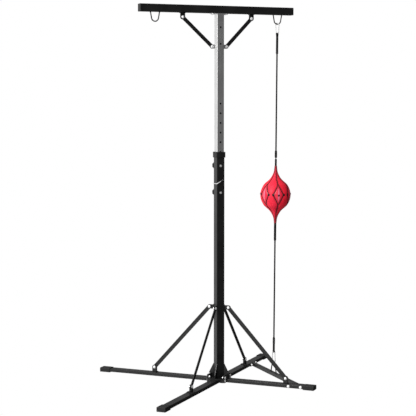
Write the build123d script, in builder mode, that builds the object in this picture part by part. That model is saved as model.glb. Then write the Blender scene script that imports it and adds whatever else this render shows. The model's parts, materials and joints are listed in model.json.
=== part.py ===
from build123d import *
from math import acos, asin, atan2, cos, degrees, hypot, radians, sin, sqrt
import os

# Free-standing boxing stand: four low legs, a telescopic post with a T-bar, and a double-end ball
# strung between a hook under the T-bar and a hook on the bar that joins two legs.
# Millimetres. +X runs along the T-bar, +Y to the back, +Z up.
# The origin is on the floor, under the axis of the post.

# ---- driving dimensions -------------------------------------------------------------------------
# legs, seen from above: the long leg runs front to back through the hub, two side legs bolt to it
leg_width = 50.0
leg_height = 20.0
leg_wall = 1.5
leg_bottom = 4.0
leg_corner = 3.0
legs = {  # name: (heading in degrees, reach from the post axis to the end of the cap, bolt head side)
    "front": (225.0, 843.0, -1),
    "back": (45.0, 790.0, 1),
    "left": (135.0, 800.0, -1),
    "right": (-45.0, 613.0, 1),
}
cap_length = 68.0
cap_width = 56.0
cap_height = 27.0
cap_end = 5.0
cap_gap = 0.1
cap_corner = 4.0

# hub: a saddle over the long leg, with a flange each side for the side legs
saddle_thickness = 4.0
saddle_reach = 66.0
flange_inner = 48.0
flange_outer = 53.0
flange_half_width = 55.0
flange_top = 50.0
end_plate = 4.0
hub_bolt_across = 42.0
hub_bolt_heights = (16.0, 35.0)
fin_thickness = 4.0
fin_top = 113.0
fin_shoulder = 35.0
fin_foot = 67.0

# lower post and telescopic upper post
post_side = 50.0
post_wall = 2.0
post_corner = 3.0
post_top = 1393.0
mast_side = 45.0
mast_wall = 2.0
mast_corner = 3.5
mast_bottom = 1080.0
pin_height = 1226.0
hole_pitch = 57.5
hole_count = 9
hole_radius = 5.5
accessory_heights = (2040.0, 2138.0)
collar_side = 60.0
collar_bottom = 1364.0
collar_top = 1398.0
collar_lip = 46.0
bush_length = 30.0
bush_flange = 8.0
bush_gap = 0.2

# braces between the legs and a band on the lower post
band_height = 458.0
band_tall = 35.0
band_thickness = 3.0
ear_thickness = 4.0
ear_radius = 13.0
brace_top_reach = 62.0
brace_foot_reach = 430.0
brace_foot_height = 56.0
brace_width = 24.0
brace_thickness = 5.0
groove_width = 8.0
groove_depth = 1.0
bracket_length = 28.0
bracket_base = 3.0
bracket_half_width = 22.0

# bar between the right leg and the back leg, which holds the lower ball hook
spreader_on_right = 492.0
spreader_on_back = 516.0
spreader_width = 25.0
spreader_wall = 1.5
spreader_plate_long = 100.0
spreader_plate_tall = 22.0
spreader_plate = 4.0
spreader_bolt_pitch = 76.0

# T-bar
bar_side = 45.0
bar_wall = 2.0
bar_corner = 3.0
bar_half_length = 492.0
bar_offset = -12.0
bar_top = 2265.0
bar_cap = 4.0
bar_plug = 12.0
top_plate_long = 104.0
top_plate_thick = 3.0
top_bolt_x = 42.0
top_bolt_y = 12.0
bar_brace_reach = 221.0
bar_brace_top = 2194.0
bar_brace_low_reach = 46.0
bar_brace_low = 2024.0
bar_brace_width = 22.0
bar_brace_thickness = 4.0
clevis_ear = 3.0

# wire hooks
hook_wire = 3.5
hook_reach = 394.0
hook_half_gap = 28.0
hook_depth = 55.0
hook_bend = 21.5
anchor_half_gap = 36.5
anchor_rise = 64.0
anchor_bend = 22.0

# fasteners
bolt_radius = 4.0
bolt_hole = 4.2
head_radius = 9.0
head_height = 4.5
nut_radius = 7.4
nut_height = 6.5
bolt_stub = 2.0

# lock pin with its wire bail, clamp knobs and guide screws
pin_radius = 4.5
pin_hole = 4.6
pin_tip = -23.1
pin_head_inner = -33.2
pin_head_outer = -41.2
pin_head_radius = 6.0
bail_radius = 1.8
bail_hole = 1.95
bail_axis_y = -37.2
bail_tilt = 32.0
bail_bend = 8.0
knob_heights = {"lower": 1153.5, "upper": 1314.5}
knob_radius = 22.0
guide_head_radius = 7.2
knob_inner = 40.0
knob_outer = 60.0
knob_neck = 33.6
knob_neck_radius = 9.0
knob_flutes = 8
knob_flute_radius = 4.0
knob_screw = 5.0
knob_nut_bore = 5.05
knob_nut_radius = 10.0
knob_nut_height = 8.0
clamp_gap = 0.1

# ball and its line
line_x = bar_offset + hook_reach
anchor_y = 32.0
carabiner_wire = 2.5
carabiner_big = 10.5
carabiner_small = 8.0
carabiner_play = 1.2
carabiner_turn = -45.0
gate_radius = 2.0
gate_gap = 0.5
gate_land = 4.0
gate_pivot = 2.6
gate_slot = 1.0
gate_slot_radius = 2.9
tongue_half_width = 1.6
tongue_thickness = 1.6
rivet_radius = 0.8
rivet_hole = 0.95
rivet_reach = 2.3
strap_eye_gap = 2.5
strap_half_width = 4.0
strap_half_thick = 4.2
cord_radius = 3.5
strap_low = 1987.0
knot_top = 1398.0
knot_low = 1356.0
knot_radius = 6.0
neck_radius = 4.5
ball_centre = 1127.5
ball_half_height = 178.5
ball_radius = 92.4
ball_skin = 2.4
ball_tip = 6.0
bladder_radius = 88.5
bladder_wall = 1.5
valve_radius = 5.0
valve_turn = -102.8
valve_stem = 2.0
ball_strap_low = 845.0
ball_strap_radius = 5.5
lower_strap_top = 238.0
lower_strap_step = 199.0
cord_end_gap = 0.3

# ---- sizes that follow from them ----------------------------------------------------------------
leg_top = leg_bottom + leg_height
leg_middle = leg_bottom + leg_height / 2
saddle_top = leg_top + saddle_thickness
end_plate_outer = flange_outer + end_plate
post_half = post_side / 2
mast_half = mast_side / 2
bar_bottom = bar_top - bar_side
mast_top = bar_bottom - top_plate_thick
hook_bottom = bar_bottom - hook_depth
anchor_top = leg_top + anchor_rise
post_corner_reach = post_half * sqrt(2) - post_corner * (sqrt(2) - 1)
top_eye_height = 2106.0
low_eye_height = 151.5


def heading(angle):
    return Vector(cos(radians(angle)), sin(radians(angle)), 0)


def side_plane(angle):
    """Upright plane through the post axis: local x runs outward, local y is up, normal to its right."""
    return Plane(origin=(0, 0, 0), x_dir=heading(angle), z_dir=heading(angle - 90))


def section_plane(angle, reach, height=0.0):
    """Plane across a leg at some reach: local x is to the leg's left, local y is up."""
    spot = heading(angle) * reach + Vector(0, 0, height)
    return Plane(origin=spot, x_dir=heading(angle + 90), z_dir=heading(angle))


def rounded_tube(plane, width, height, wall, corner, length):
    """Add a hollow rounded rectangle, extruded from the plane, to the open part."""
    with BuildSketch(plane) as profile:
        RectangleRounded(width, height, corner)
        RectangleRounded(width - 2 * wall, height - 2 * wall, max(corner - wall, 1), mode=Mode.SUBTRACT)
    extrude(profile.sketch, amount=length)


def cross_holes(plane, spots, radius, depth):
    """Cut round holes through the open part, both ways from the plane."""
    with BuildSketch(plane) as circles:
        with Locations(*spots):
            Circle(radius)
    extrude(circles.sketch, amount=depth, both=True, mode=Mode.SUBTRACT)


def bar_between(plane, start, end, width, thickness):
    """Add a flat bar with round ends between two points of the plane, and cut its two bolt holes."""
    middle = ((start[0] + end[0]) / 2, (start[1] + end[1]) / 2)
    span = hypot(end[0] - start[0], end[1] - start[1])
    tilt = degrees(atan2(end[1] - start[1], end[0] - start[0]))
    with BuildSketch(plane) as outline:
        with Locations(Location((middle[0], middle[1], 0), (0, 0, tilt))):
            SlotCenterToCenter(span, width)
    extrude(outline.sketch, amount=thickness)
    inward = 1 if thickness > 0 else -1
    for face_height, way in ((0, inward), (thickness, -inward)):
        with BuildSketch(plane.offset(face_height)) as groove:
            with Locations(Location((middle[0], middle[1], 0), (0, 0, tilt))):
                SlotCenterToCenter(span - 2.6 * width, groove_width)
        extrude(groove.sketch, amount=way * groove_depth, mode=Mode.SUBTRACT)
    cross_holes(plane, (start, end), bolt_hole, 2 * abs(thickness))


def finish(part, name):
    part.label = name
    export_step(part, f"parts/{name}.step")


os.makedirs("parts", exist_ok=True)

# ---- fastener patterns --------------------------------------------------------------------------


def make_bolt(grip):
    """Domed bolt along +Z: the head sits on z = 0 and the shank runs down through the grip."""
    with BuildPart() as bolt:
        with BuildSketch(Plane.XZ):
            with BuildLine():
                Polyline(
                    (head_radius, 0),
                    (bolt_radius, 0),
                    (bolt_radius, -grip - nut_height - bolt_stub),
                    (0, -grip - nut_height - bolt_stub),
                    (0, head_height),
                    (0.3 * head_radius, head_height),
                )
                ThreePointArc(
                    (0.3 * head_radius, head_height),
                    (0.8 * head_radius, 0.7 * head_height),
                    (head_radius, 0),
                )
            make_face()
        revolve(axis=Axis.Z)
    return bolt.part


def make_nut():
    """Hexagon nut: it sits on z = 0 and stands up along +Z."""
    with BuildPart() as nut:
        with BuildSketch(Plane.XY):
            RegularPolygon(nut_radius, 6)
            Circle(bolt_radius, mode=Mode.SUBTRACT)
        extrude(amount=nut_height)
    return nut.part


def facing(plane, spot, level, way):
    """Plane at a spot of the given plane, raised to a level, looking along way times its normal."""
    origin = plane.from_local_coords((spot[0], spot[1], level))
    return Plane(origin=origin, x_dir=plane.x_dir, z_dir=plane.z_dir * way)


def group(template, places):
    """One node holding the same fastener at each place."""
    with BuildPart() as batch:
        for place in places:
            with Locations(place):
                add(template)
    return batch.part


# ---- legs ---------------------------------------------------------------------------------------
spreader_spots = {
    "right": [(spreader_on_right + s * spreader_bolt_pitch / 2, leg_middle) for s in (-1, 1)],
    "back": [(spreader_on_back + s * spreader_bolt_pitch / 2, leg_middle) for s in (-1, 1)],
}

with BuildPart() as long_leg:
    front_end = legs["front"][1] - cap_end
    back_end = legs["back"][1] - cap_end
    rounded_tube(
        section_plane(45, -front_end, leg_middle),
        leg_width,
        leg_height,
        leg_wall,
        leg_corner,
        front_end + back_end,
    )
    cross_holes(side_plane(45), spreader_spots["back"], bolt_hole, leg_width)
finish(long_leg.part, "long_leg")

hub_holes = [(s * hub_bolt_across, z) for s in (-1, 1) for z in hub_bolt_heights]
for name in ("left", "right"):
    angle, reach, head = legs[name]
    with BuildPart() as side_leg:
        rounded_tube(
            section_plane(angle, end_plate_outer, leg_middle),
            leg_width,
            leg_height,
            leg_wall,
            leg_corner,
            reach - cap_end - end_plate_outer,
        )
        with BuildSketch(section_plane(angle, flange_outer)):
            with Locations((0, (leg_bottom + flange_top) / 2)):
                RectangleRounded(2 * flange_half_width, flange_top - leg_bottom, 4)
            with Locations(*hub_holes):
                Circle(bolt_hole, mode=Mode.SUBTRACT)
        extrude(amount=end_plate)
        if name == "right":
            cross_holes(side_plane(angle), spreader_spots["right"], bolt_hole, leg_width)
    finish(side_leg.part, f"{name}_leg")

for name, (angle, reach, head) in legs.items():
    with BuildPart() as cap:
        with BuildSketch(section_plane(angle, reach - cap_length, cap_height / 2)):
            RectangleRounded(cap_width, cap_height, cap_corner)
        extrude(amount=cap_length)
        end_edges = cap.faces().sort_by(Axis((0, 0, 0), heading(angle)))[-1].edges()
        fillet(end_edges, 3)
        with BuildSketch(section_plane(angle, reach - cap_length, leg_middle)):
            RectangleRounded(leg_width + 2 * cap_gap, leg_height + 2 * cap_gap, leg_corner)
        extrude(amount=cap_length - cap_end, mode=Mode.SUBTRACT)
    finish(cap.part, f"{name}_cap")

# ---- hub ----------------------------------------------------------------------------------------
with BuildPart() as hub:
    with BuildSketch(Plane.XY.offset(leg_top).rotated((0, 0, 45))):
        Rectangle(2 * saddle_reach, 2 * flange_inner)
    extrude(amount=saddle_thickness)
    for angle in (135, -45):
        with BuildSketch(section_plane(angle, flange_inner)):
            with Locations((0, (leg_bottom + flange_top) / 2)):
                RectangleRounded(2 * flange_half_width, flange_top - leg_bottom, 4)
            with Locations(*hub_holes):
                Circle(bolt_hole, mode=Mode.SUBTRACT)
        extrude(amount=flange_outer - flange_inner)
        with BuildSketch(section_plane(angle, leg_width / 2 + cap_gap)):
            for side in (-1, 1):
                with Locations((side * (flange_half_width - 2), leg_middle)):
                    Rectangle(4, leg_height)
        extrude(amount=flange_inner - leg_width / 2 - cap_gap)
    for angle in (45, 135, 225, 315):
        fin = [(post_corner_reach, saddle_top), (post_corner_reach, fin_top), (fin_shoulder, fin_top)]
        fin.append((fin_foot, flange_top + 1))
        if angle in (45, 225):
            fin.append((fin_foot - 1, saddle_top))
        else:
            fin.extend([(fin_foot, flange_top + cap_gap), (flange_outer, flange_top + cap_gap)])
            fin.append((flange_outer - 1, saddle_top))
        with BuildSketch(side_plane(angle).offset(-fin_thickness / 2)):
            with BuildLine():
                Polyline(*fin, close=True)
            make_face()
        extrude(amount=fin_thickness)
finish(hub.part, "base_hub")

short_bolt_places = []
base_nut_places = []
for angle in (135, -45):
    for spot in hub_holes:
        short_bolt_places.append(facing(section_plane(angle, 0), spot, end_plate_outer, 1))
        base_nut_places.append(facing(section_plane(angle, 0), spot, flange_inner, -1))

# ---- lower post ---------------------------------------------------------------------------------
with BuildPart() as lower_post:
    post_base = Plane.XY.offset(saddle_top)
    rounded_tube(post_base, post_side, post_side, post_wall, post_corner, post_top - saddle_top)
    with BuildSketch(Plane.XZ.offset(post_half + 1)):
        with Locations((0, pin_height)):
            Circle(pin_hole)
        with Locations(*[(0, z) for z in knob_heights.values()]):
            Circle(bolt_hole)
    extrude(amount=-post_half, mode=Mode.SUBTRACT)
    with BuildSketch(Plane.XZ.offset(-post_half - 1)):
        with Locations(*[(0, z) for z in knob_heights.values()]):
            Circle(knob_screw + 0.4)
    extrude(amount=post_half, mode=Mode.SUBTRACT)
finish(lower_post.part, "lower_post")

with BuildPart() as collar:
    with BuildSketch(Plane.XY.offset(collar_bottom)):
        RectangleRounded(collar_side, collar_side, 6)
    extrude(amount=collar_top - collar_bottom)
    rims = collar.faces().filter_by(Axis.Z).edges()
    fillet(rims, 2)
    with BuildSketch(Plane.XY.offset(collar_bottom)):
        RectangleRounded(post_side, post_side, post_corner)
    extrude(amount=post_top - collar_bottom, mode=Mode.SUBTRACT)
    with BuildSketch(Plane.XY.offset(post_top)):
        RectangleRounded(collar_lip, collar_lip, mast_corner)
    extrude(amount=collar_top - post_top, mode=Mode.SUBTRACT)
finish(collar.part, "post_collar")

# ---- brace band, braces and their brackets ------------------------------------------------------
with BuildPart() as band:
    with BuildSketch(Plane.XY.offset(band_height - band_tall / 2)):
        RectangleRounded(post_side + 2 * band_thickness, post_side + 2 * band_thickness, post_corner + 2)
    extrude(amount=band_tall)
    for angle, reach, head in legs.values():
        with BuildSketch(side_plane(angle)):
            with Locations((brace_top_reach, band_height)):
                Circle(ear_radius)
            with Locations(((brace_top_reach + fin_shoulder) / 2 - 3, band_height)):
                Rectangle(brace_top_reach - fin_shoulder + 6, 2 * ear_radius)
        extrude(amount=-head * ear_thickness)
    with BuildSketch(Plane.XY.offset(band_height - band_tall / 2)):
        RectangleRounded(post_side, post_side, post_corner)
    extrude(amount=band_tall, mode=Mode.SUBTRACT)
    for angle in (45, 135):
        eyes = [(s * brace_top_reach, band_height) for s in (-1, 1)]
        cross_holes(side_plane(angle), eyes, bolt_hole, 2 * ear_thickness)
finish(band.part, "brace_band")

for name, (angle, reach, head) in legs.items():
    plane = side_plane(angle)
    top_eye = (brace_top_reach, band_height)
    foot_eye = (brace_foot_reach, brace_foot_height)
    with BuildPart() as brace:
        bar_between(plane, foot_eye, top_eye, brace_width, head * brace_thickness)
    finish(brace.part, f"{name}_brace")

    with BuildPart() as bracket:
        with BuildSketch(Plane.XY.offset(leg_top).rotated((0, 0, angle))):
            with Locations((brace_foot_reach, 0)):
                Rectangle(bracket_length, 2 * bracket_half_width)
        extrude(amount=bracket_base)
        for inner, outer in ((0, -head * ear_thickness), (head * brace_thickness, head * ear_thickness)):
            with BuildSketch(plane.offset(inner)):
                with Locations(foot_eye):
                    Circle(bracket_length / 2)
                with Locations((brace_foot_reach, (leg_top + brace_foot_height) / 2)):
                    Rectangle(bracket_length, brace_foot_height - leg_top)
                with Locations(foot_eye):
                    Circle(bolt_hole, mode=Mode.SUBTRACT)
            extrude(amount=outer)
    finish(bracket.part, f"{name}_bracket")

bracket_places = []
for angle, reach, head in legs.values():
    plane = side_plane(angle)
    short_bolt_places.append(facing(plane, top_eye, head * brace_thickness, head))
    base_nut_places.append(facing(plane, top_eye, -head * ear_thickness, -head))
    bracket_places.append(facing(plane, foot_eye, head * (brace_thickness + ear_thickness), head))
    base_nut_places.append(facing(plane, foot_eye, -head * ear_thickness, -head))
short_grip = brace_thickness + ear_thickness
finish(group(make_bolt(short_grip), short_bolt_places), "short_bolts")
finish(group(make_bolt(brace_thickness + 2 * ear_thickness), bracket_places), "bracket_bolts")

# ---- spreader bar and the lower ball hook -------------------------------------------------------
right_way = heading(-45)
back_way = heading(45)
bar_start = right_way * spreader_on_right + back_way * (leg_width / 2)
bar_end = back_way * spreader_on_back + right_way * (leg_width / 2)
bar_way = (bar_end - bar_start).normalized()
bar_left = Vector(-bar_way.Y, bar_way.X, 0)


def meet(offset, leg_normal, level):
    """Where a line along the spreader, offset to its left, meets the face of a leg's plate."""
    base = bar_start + bar_left * offset
    distance = (level - base.dot(leg_normal)) / bar_way.dot(leg_normal)
    spot = base + bar_way * distance
    return (spot.X, spot.Y)


plate_face = leg_width / 2 + spreader_plate
with BuildPart() as spreader:
    for inset, mode in ((0, Mode.ADD), (spreader_wall, Mode.SUBTRACT)):
        half = spreader_width / 2 - inset
        with BuildSketch(Plane.XY.offset(leg_bottom + inset)):
            with BuildLine():
                Polyline(
                    meet(half, back_way, plate_face),
                    meet(-half, back_way, plate_face),
                    meet(-half, right_way, plate_face),
                    meet(half, right_way, plate_face),
                    close=True,
                )
            make_face()
        extrude(amount=leg_height - 2 * inset, mode=mode)
finish(spreader.part, "spreader_bar")

with BuildPart() as plates:
    for angle, middle, way in ((-45, spreader_on_right, -1), (45, spreader_on_back, 1)):
        side = side_plane(angle).offset(way * leg_width / 2)
        with BuildSketch(side):
            with Locations((middle, leg_middle)):
                RectangleRounded(spreader_plate_long, spreader_plate_tall, 4)
            for s in (-1, 1):
                with Locations((middle + s * spreader_bolt_pitch / 2, leg_middle)):
                    Circle(bolt_hole, mode=Mode.SUBTRACT)
        extrude(amount=way * spreader_plate)
finish(plates.part, "spreader_plates")

spreader_places = []
for name, way in (("right", -1), ("back", 1)):
    plane = side_plane(legs[name][0])
    for spot in spreader_spots[name]:
        spreader_places.append(facing(plane, spot, -way * leg_width / 2, -way))
        base_nut_places.append(facing(plane, spot, way * plate_face, way))
finish(group(make_bolt(leg_width + spreader_plate), spreader_places), "spreader_bolts")
finish(group(make_nut(), base_nut_places), "base_nuts")


def wire_hook(plane, half_gap, depth, bend):
    """U of round wire: its ends stand on the plane's local x axis and its bend points along local y."""
    centre = depth - bend
    lean = acos(bend / hypot(half_gap, centre)) - atan2(centre, half_gap)
    touch = (bend * cos(lean), centre + bend * sin(lean))
    with BuildPart() as hook:
        with BuildLine(plane) as path:
            Line((half_gap, 0), touch)
            ThreePointArc(touch, (0, depth), (-touch[0], touch[1]))
            Line((-touch[0], touch[1]), (-half_gap, 0))
        with BuildSketch(Plane(origin=path.line @ 0, z_dir=path.line % 0)):
            Circle(hook_wire)
        sweep(path=path.line)
        for end in (-half_gap, half_gap):
            with BuildSketch(Plane(origin=plane.from_local_coords((end, 0, 0)), z_dir=plane.y_dir)):
                Circle(hook_wire + 1)
            extrude(amount=3, taper=12)
        box_side = 4 * half_gap
        cut_origin = plane.from_local_coords((0, 0, 0))
        with BuildSketch(Plane(origin=cut_origin, x_dir=plane.x_dir, z_dir=plane.y_dir)):
            Rectangle(box_side, box_side)
        extrude(amount=-2 * hook_wire, mode=Mode.SUBTRACT)
    return hook.part


anchor_plane = Plane(origin=(line_x, anchor_y, leg_top), x_dir=(0, 1, 0), z_dir=(1, 0, 0))
finish(wire_hook(anchor_plane, anchor_half_gap, anchor_rise, anchor_bend), "anchor_hook")

# ---- upper post ---------------------------------------------------------------------------------
with BuildPart() as mast:
    mast_base = Plane.XY.offset(mast_bottom)
    rounded_tube(mast_base, mast_side, mast_side, mast_wall, mast_corner, mast_top - mast_bottom)
    heights = [pin_height + k * hole_pitch for k in range(hole_count)]
    cross_holes(Plane.XZ, [(0, z) for z in (*heights, *accessory_heights)], hole_radius, mast_side)
finish(mast.part, "upper_post")

bush_outer = post_side - 2 * post_wall - 2 * bush_gap
with BuildPart() as bush:
    with BuildSketch(Plane.XY.offset(mast_bottom - bush_flange)):
        RectangleRounded(bush_outer, bush_outer, 2)
    extrude(amount=bush_flange)
    with BuildSketch(Plane.XY.offset(mast_bottom)):
        RectangleRounded(mast_side - 2 * mast_wall, mast_side - 2 * mast_wall, mast_corner - mast_wall)
    extrude(amount=bush_length - bush_flange)
    with BuildSketch(Plane.XY.offset(mast_bottom - bush_flange)):
        RectangleRounded(mast_side - 2 * mast_wall - 6, mast_side - 2 * mast_wall - 6, 2)
    extrude(amount=bush_length, mode=Mode.SUBTRACT)
finish(bush.part, "mast_bush")

# ---- T-bar --------------------------------------------------------------------------------------
top_spots = [(sx * top_bolt_x, sy * top_bolt_y) for sx in (-1, 1) for sy in (-1, 1)]
with BuildPart() as top_plate:
    with BuildSketch(Plane.XY.offset(mast_top)):
        RectangleRounded(top_plate_long, bar_side, 4)
        with Locations(*top_spots):
            Circle(bolt_hole, mode=Mode.SUBTRACT)
    extrude(amount=top_plate_thick)
finish(top_plate.part, "top_plate")

bar_middle = bar_top - bar_side / 2
with BuildPart() as top_bar:
    bar_left_end = bar_offset - bar_half_length + bar_cap
    bar_plane = Plane(origin=(bar_left_end, 0, bar_middle), x_dir=(0, 1, 0), z_dir=(1, 0, 0))
    rounded_tube(bar_plane, bar_side, bar_side, bar_wall, bar_corner, 2 * (bar_half_length - bar_cap))
    with BuildSketch(Plane.XY.offset(bar_bottom)):
        with Locations(*top_spots):
            Circle(bolt_hole)
    extrude(amount=bar_side / 2, mode=Mode.SUBTRACT)
finish(top_bar.part, "top_bar")

bar_inside = bar_side - 2 * bar_wall
with BuildPart() as bar_caps:
    for way in (-1, 1):
        end_x = bar_offset + way * (bar_half_length - bar_cap)
        end_plane = Plane(origin=(end_x, 0, bar_middle), x_dir=(0, 1, 0), z_dir=(way, 0, 0))
        with BuildSketch(end_plane):
            RectangleRounded(bar_side, bar_side, bar_corner)
        extrude(amount=bar_cap)
        with BuildSketch(end_plane):
            RectangleRounded(bar_inside, bar_inside, 1)
            RectangleRounded(bar_inside - 4, bar_inside - 4, 1, mode=Mode.SUBTRACT)
        extrude(amount=-bar_plug)
    for end in (0, -1):
        fillet(bar_caps.faces().sort_by(Axis.X)[end].edges(), 1.5)
finish(bar_caps.part, "bar_caps")

top_bolt_places = [facing(Plane.XY, spot, mast_top, -1) for spot in top_spots]
top_nut_places = [facing(Plane.XY, spot, bar_bottom + bar_wall, 1) for spot in top_spots]
finish(group(make_bolt(top_plate_thick + bar_wall), top_bolt_places), "bar_bolts")

# ---- T-bar braces -------------------------------------------------------------------------------
front = Plane.XZ  # local x is +X, local y is +Z, and its normal looks to the front
half_thick = bar_brace_thickness / 2
bar_brace_places = []
bar_brace_nut_places = []
clevis_eyes = []
for name, way in (("left", -1), ("right", 1)):
    upper_eye = (bar_offset + way * bar_brace_reach, bar_brace_top)
    lower_eye = (way * bar_brace_low_reach, bar_brace_low)
    with BuildPart() as bar_brace:
        bar_between(front.offset(-half_thick), lower_eye, upper_eye, bar_brace_width, bar_brace_thickness)
    finish(bar_brace.part, f"{name}_bar_brace")
    clevis_eyes.append(upper_eye)
    for eye in (upper_eye, lower_eye):
        bar_brace_places.append(facing(front, eye, half_thick + clevis_ear, 1))
        bar_brace_nut_places.append(facing(front, eye, -half_thick - clevis_ear, -1))

with BuildPart() as clevises:
    for upper_eye in clevis_eyes:
        with BuildSketch(Plane.XY.offset(bar_bottom)):
            with Locations((upper_eye[0], 0)):
                Rectangle(bracket_length + 4, bracket_length)
        extrude(amount=-bracket_base)
        for side in (-1, 1):
            with BuildSketch(front.offset(side * half_thick)):
                with Locations(upper_eye):
                    Circle(bracket_length / 2)
                with Locations((upper_eye[0], (upper_eye[1] + bar_bottom - 1) / 2)):
                    Rectangle(bracket_length, bar_bottom - 1 - upper_eye[1])
                with Locations(upper_eye):
                    Circle(bolt_hole, mode=Mode.SUBTRACT)
            extrude(amount=side * clevis_ear)
finish(clevises.part, "bar_brackets")

with BuildPart() as lugs:
    for way in (-1, 1):
        eye = (way * bar_brace_low_reach, bar_brace_low)
        for side in (-1, 1):
            with BuildSketch(front.offset(side * half_thick)):
                with Locations(eye):
                    Circle(ear_radius - 1)
                with Locations((way * (mast_half + bar_brace_low_reach) / 2, bar_brace_low)):
                    Rectangle(bar_brace_low_reach - mast_half, 2 * ear_radius - 2)
                with Locations(eye):
                    Circle(bolt_hole, mode=Mode.SUBTRACT)
            extrude(amount=side * clevis_ear)
        with BuildSketch(front.offset(-half_thick)):
            with Locations((way * (mast_half + 1.5), bar_brace_low)):
                Rectangle(3, 2 * ear_radius - 2)
        extrude(amount=2 * half_thick)
finish(lugs.part, "mast_lugs")
bar_brace_grip = bar_brace_thickness + 2 * clevis_ear
finish(group(make_bolt(bar_brace_grip), bar_brace_places), "bar_brace_bolts")
finish(group(make_nut(), top_nut_places + bar_brace_nut_places), "mast_nuts")

for name, way in (("left", -1), ("right", 1)):
    spot = (bar_offset + way * hook_reach, 0, bar_bottom)
    hook_plane = Plane(origin=spot, x_dir=(1, 0, 0), z_dir=(0, 1, 0))
    finish(wire_hook(hook_plane, hook_half_gap, hook_depth, hook_bend), f"{name}_hook")

# ---- lock pin and bail --------------------------------------------------------------------------
bail_eye = Vector(0, bail_axis_y, pin_height)
bail_way = Vector(cos(radians(bail_tilt)), 0, sin(radians(bail_tilt)))
with BuildPart() as pin:
    with BuildSketch(Plane.XZ.offset(-pin_tip)):
        with Locations((0, pin_height)):
            Circle(pin_radius)
    extrude(amount=pin_tip - pin_head_inner)
    fillet(pin.edges().sort_by(Axis.Y)[-1], 1.5)
    with BuildSketch(Plane.XZ.offset(-pin_head_inner)):
        with Locations((0, pin_height)):
            Circle(pin_head_radius)
    extrude(amount=pin_head_inner - pin_head_outer)
    fillet(pin.edges().sort_by(Axis.Y)[0], 1.2)
    with BuildSketch(Plane(origin=bail_eye, z_dir=bail_way)):
        Circle(bail_hole)
    extrude(amount=2 * pin_head_radius, both=True, mode=Mode.SUBTRACT)
finish(pin.part, "lock_pin")

bail_side = post_half + 5
bail_corner = bail_eye - bail_way * (bail_side / cos(radians(bail_tilt)))
with BuildPart() as bail:
    with BuildLine() as bail_path:
        FilletPolyline(
            bail_eye + bail_way * (pin_head_radius + 2),
            bail_corner,
            Vector(-bail_side, post_half + 2, bail_corner.Z + 2),
            radius=bail_bend,
        )
    with BuildSketch(Plane(origin=bail_path.line @ 0, z_dir=bail_path.line % 0)):
        Circle(bail_radius)
    sweep(path=bail_path.line)
finish(bail.part, "pin_bail")

# ---- clamp knobs and guide screws ---------------------------------------------------------------
rear = Plane(origin=(0, 0, 0), x_dir=(-1, 0, 0), z_dir=(0, 1, 0))
for name, height in knob_heights.items():
    with BuildPart() as knob:
        with BuildSketch(rear.offset(knob_neck)):
            with Locations((0, height)):
                Circle(knob_neck_radius)
        extrude(amount=knob_inner - knob_neck)
        with BuildSketch(rear.offset(knob_inner)):
            with Locations((0, height)):
                Circle(knob_radius)
                with PolarLocations(knob_radius + 2, knob_flutes):
                    Circle(knob_flute_radius, mode=Mode.SUBTRACT)
        extrude(amount=knob_outer - knob_inner)
        fillet(knob.faces().sort_by(Axis.Y)[-1].edges(), 3)
        with BuildSketch(rear.offset(knob_neck)):
            with Locations((0, height)):
                Circle(knob_screw)
        extrude(amount=knob_inner - knob_neck + 8, mode=Mode.SUBTRACT)
    finish(knob.part, f"{name}_knob")

    with BuildPart() as screw:
        with BuildSketch(rear.offset(mast_half + clamp_gap)):
            with Locations((0, height)):
                Circle(knob_screw)
        extrude(amount=knob_inner + 8 - mast_half - clamp_gap)
        chamfer(screw.edges().sort_by(Axis.Y)[0], 1)
    finish(screw.part, f"{name}_knob_screw")

with BuildPart() as knob_nuts:
    for height in knob_heights.values():
        with BuildSketch(rear.offset(post_half)):
            with Locations((0, height)):
                RegularPolygon(knob_nut_radius, 6)
                Circle(knob_nut_bore, mode=Mode.SUBTRACT)
        extrude(amount=knob_nut_height)
finish(knob_nuts.part, "knob_nuts")

with BuildPart() as guide_screws:
    for height in knob_heights.values():
        for inner, outer, radius in (
            (-mast_half - clamp_gap, -post_half, bolt_radius),
            (-post_half, -post_half - head_height, guide_head_radius),
        ):
            with BuildSketch(rear.offset(inner)):
                with Locations((0, height)):
                    Circle(radius)
            extrude(amount=outer - inner)
    fillet(guide_screws.edges().group_by(Axis.Y)[0], 2)
finish(guide_screws.part, "guide_screws")

# ---- carabiners ---------------------------------------------------------------------------------
# The ball's line is built upright under its hook, then leans back to the hook on the spreader bar.
line_pivot = Axis((line_x, 0, hook_bottom), (1, 0, 0))
line_lean = degrees(atan2(anchor_y, hook_bottom - anchor_top))


def finish_on_line(part, name):
    finish(part.rotate(line_pivot, line_lean), name)



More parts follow.
